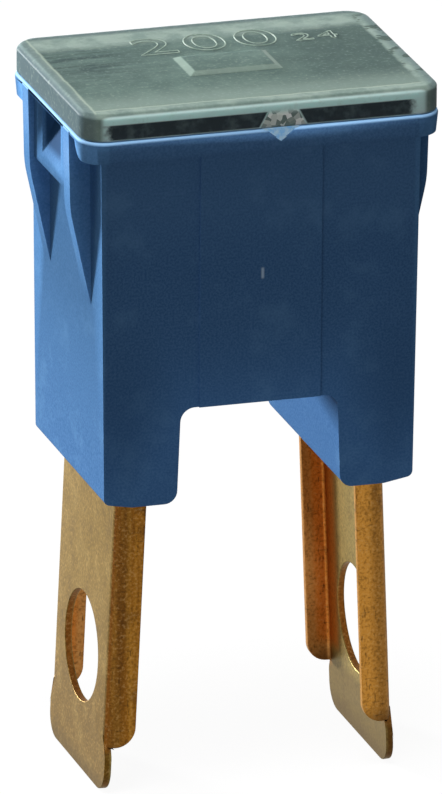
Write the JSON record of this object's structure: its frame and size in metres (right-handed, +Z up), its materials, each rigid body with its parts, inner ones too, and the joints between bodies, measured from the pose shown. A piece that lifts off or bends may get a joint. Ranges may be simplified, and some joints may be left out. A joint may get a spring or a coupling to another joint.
{
  "type": "fusible link",
  "caption": "Bolt-in cartridge fusible link: blue case on hollow legs, clear clip-on cover, and folded copper blades with bolt holes.",
  "frame": {"origin": "middle of the box's bottom face, on the plane that the two blade tips stand on", "axes": "+Z up from the blade tips to the cover, X across the two blades, -Y the front with the pry notch"},
  "size_m": [0.0252, 0.018, 0.0495],
  "materials": {
    "housing": "moulded heat-resistant plastic, fine matt texture",
    "cover": "clear smoky moulded plastic, glossy",
    "blade": "rolled copper alloy sheet, stamped and folded, lightly tarnished",
    "element": "thin copper alloy strip",
    "tin": "cast tin, satin"
  },
  "bodies": {
    "root": {"housing": "housing", "cover": "cover", "left_blade": "blade", "right_blade": "blade", "fuse_element": "element", "tin_pellet": "tin"}
  },
  "joints": []
}
